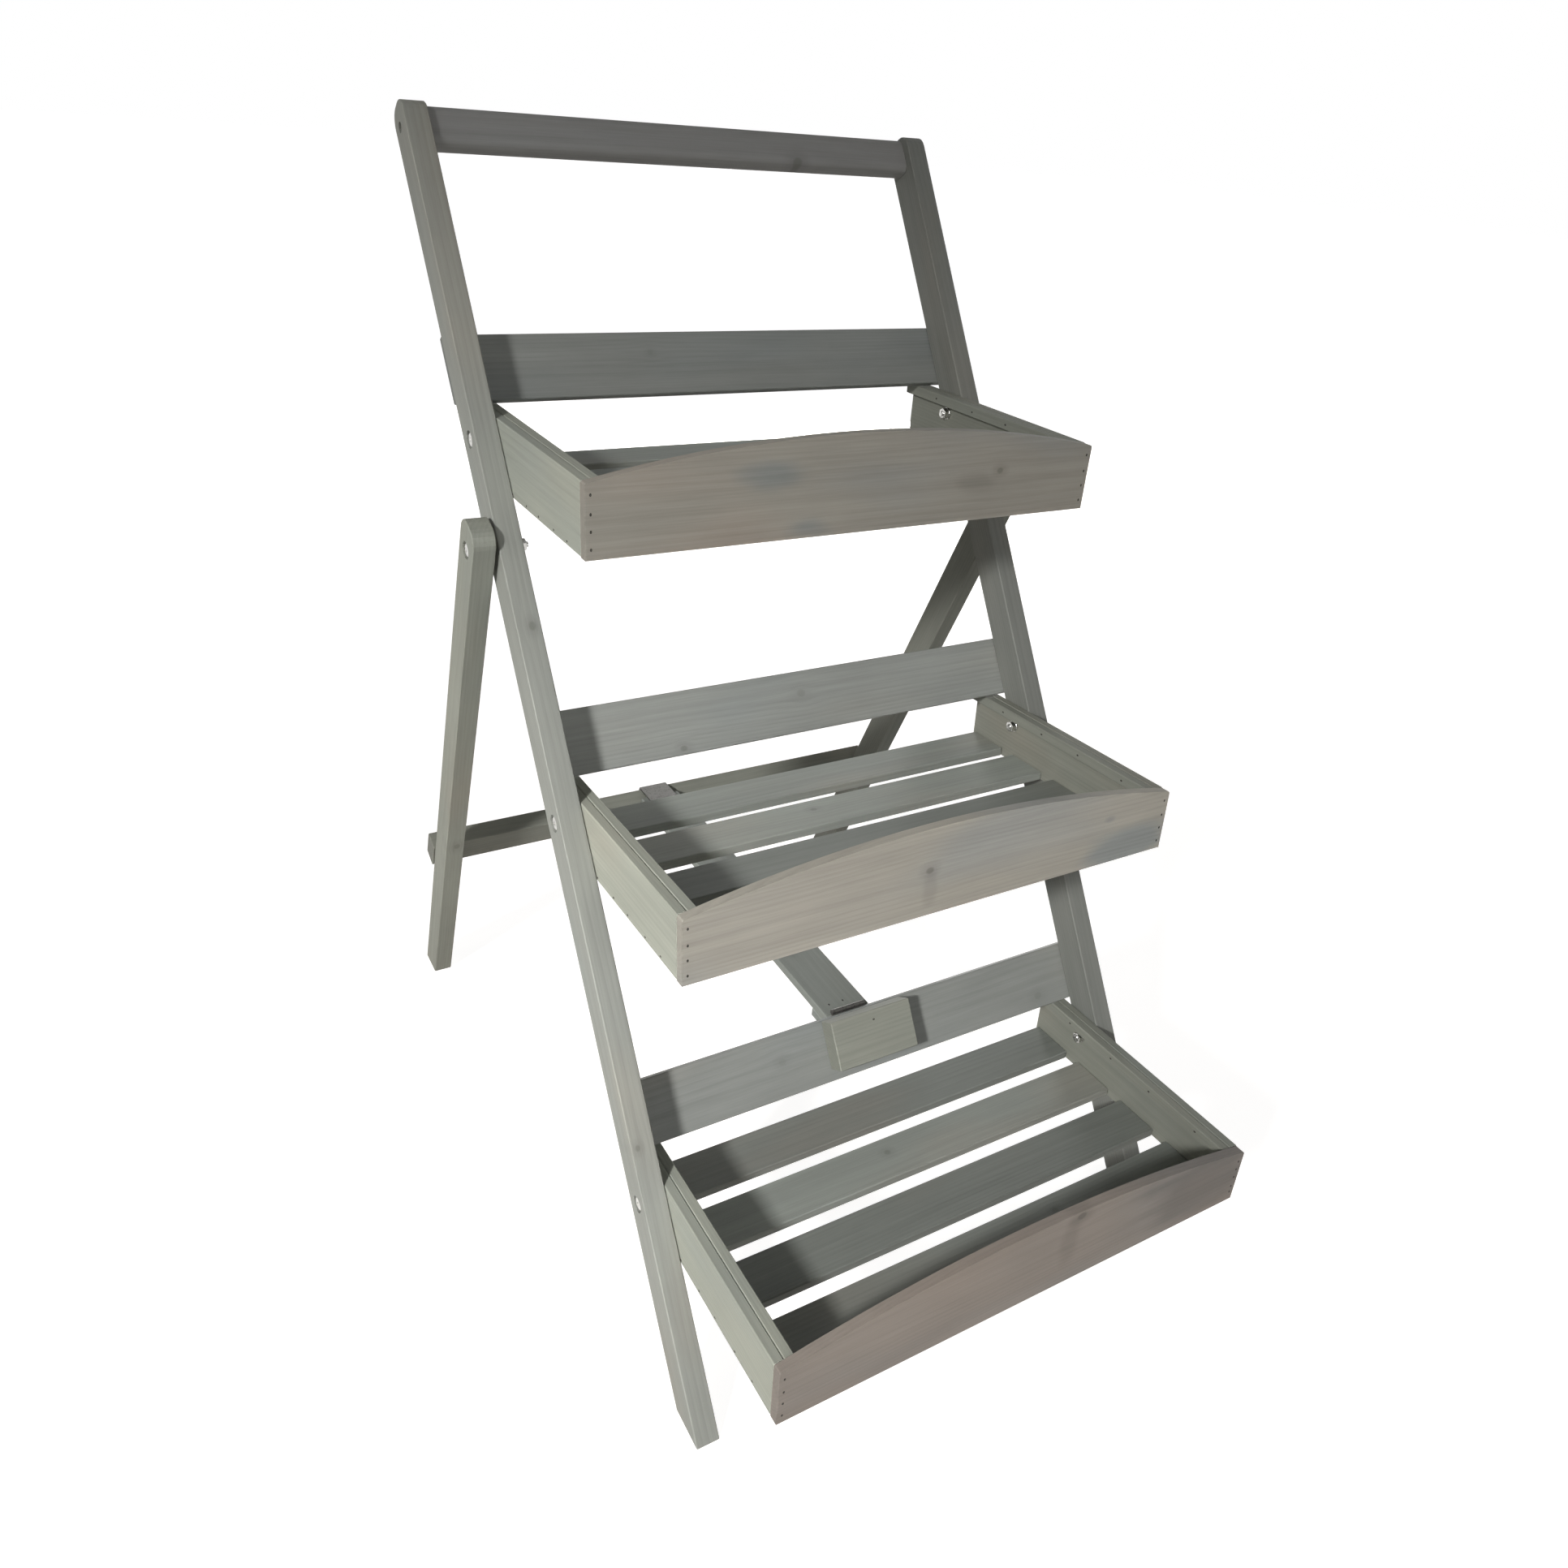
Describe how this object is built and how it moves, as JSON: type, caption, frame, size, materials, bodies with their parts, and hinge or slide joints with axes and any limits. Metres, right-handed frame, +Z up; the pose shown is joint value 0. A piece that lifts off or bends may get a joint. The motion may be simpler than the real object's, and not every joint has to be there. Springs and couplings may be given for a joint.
{
  "type": "folding plant stand",
  "caption": "Folding garden shelf of grey stained wood: a leaning front frame with slatted trays that tip up, and rear legs held open by a hinged stay.",
  "frame": {"origin": "on the floor, in the middle of the width and of the depth that the opened stand fills", "axes": "+Z up, the trays' arched fronts face -Y, +X to the right of someone who faces the back of the stand's trays from the front"},
  "size_m": [0.597, 0.8511, 0.9872],
  "materials": {
    "stile_wood": "matt grey stain over sawn softwood",
    "rail_wood": "matt grey stain over planed softwood",
    "board_wood": "matt grey stain over planed softwood",
    "side_wood": "matt grey stain over planed softwood",
    "front_wood": "matt grey stain over planed softwood, with knots",
    "slat_wood": "matt grey stain over planed softwood",
    "leg_wood": "matt grey stain over sawn softwood",
    "zinc": "bright zinc plate",
    "dull_steel": "dull steel"
  },
  "bodies": {
    "front_frame": {"left_stile": "stile_wood", "right_stile": "stile_wood", "top_rail": "rail_wood", "bottom_back_board": "board_wood", "middle_back_board": "board_wood", "top_back_board": "board_wood", "left_leg_spacer": "zinc", "right_leg_spacer": "zinc", "bottom_left_bolt": "zinc", "bottom_right_bolt": "zinc", "middle_left_bolt": "zinc", "middle_right_bolt": "zinc", "top_left_bolt": "zinc", "top_right_bolt": "zinc", "left_leg_bolt": "zinc", "right_leg_bolt": "zinc", "bottom_left_nut": "zinc", "bottom_right_nut": "zinc", "middle_left_nut": "zinc", "middle_right_nut": "zinc", "top_left_nut": "zinc", "top_right_nut": "zinc", "left_leg_nut": "zinc", "right_leg_nut": "zinc", "stay_block": "front_wood", "hinge_board_leaf": "dull_steel"},
    "bottom_tray": {"bottom_tray_left_side": "side_wood", "bottom_tray_right_side": "side_wood", "bottom_tray_left_strip": "side_wood", "bottom_tray_right_strip": "side_wood", "bottom_tray_front": "front_wood", "bottom_tray_slat_1": "slat_wood", "bottom_tray_slat_2": "slat_wood", "bottom_tray_slat_3": "slat_wood", "bottom_tray_slat_4": "slat_wood"},
    "middle_tray": {"middle_tray_left_side": "side_wood", "middle_tray_right_side": "side_wood", "middle_tray_left_strip": "side_wood", "middle_tray_right_strip": "side_wood", "middle_tray_front": "front_wood", "middle_tray_slat_1": "slat_wood", "middle_tray_slat_2": "slat_wood", "middle_tray_slat_3": "slat_wood", "middle_tray_slat_4": "slat_wood"},
    "top_tray": {"top_tray_left_side": "side_wood", "top_tray_right_side": "side_wood", "top_tray_left_strip": "side_wood", "top_tray_right_strip": "side_wood", "top_tray_front": "front_wood", "top_tray_slat_1": "slat_wood", "top_tray_slat_2": "slat_wood", "top_tray_slat_3": "slat_wood", "top_tray_slat_4": "slat_wood"},
    "rear_frame": {"left_rear_leg": "leg_wood", "right_rear_leg": "leg_wood", "rear_crossbar": "leg_wood"},
    "stay_arm": {"stay": "slat_wood", "stay_pad": "slat_wood", "stay_hook": "dull_steel", "hinge_stay_leaf": "dull_steel"}
  },
  "joints": [
    {"name": "bottom_tray_fold", "type": "hinge", "parent": "front_frame", "child": "bottom_tray", "pos_m": [0, -0.2101, 0.1693], "axis": [-1, 0, 0], "range_deg": [0, 119]},
    {"name": "middle_tray_fold", "type": "hinge", "parent": "front_frame", "child": "middle_tray", "pos_m": [0, -0.0209, 0.453], "axis": [-1, 0, 0], "range_deg": [0, 117.5]},
    {"name": "top_tray_fold", "type": "hinge", "parent": "front_frame", "child": "top_tray", "pos_m": [0, 0.1683, 0.73669], "axis": [-1, 0, 0], "range_deg": [0, 120.5]},
    {"name": "rear_frame_fold", "type": "hinge", "parent": "front_frame", "child": "rear_frame", "pos_m": [0, 0.11531, 0.65724], "axis": [-1, 0, 0], "range_deg": [0, 51]},
    {"name": "stay_lift", "type": "hinge", "parent": "front_frame", "child": "stay_arm", "pos_m": [-0.013, -0.12995, 0.23813], "axis": [1, 0, 0], "range_deg": [0, 44.5]}
  ]
}
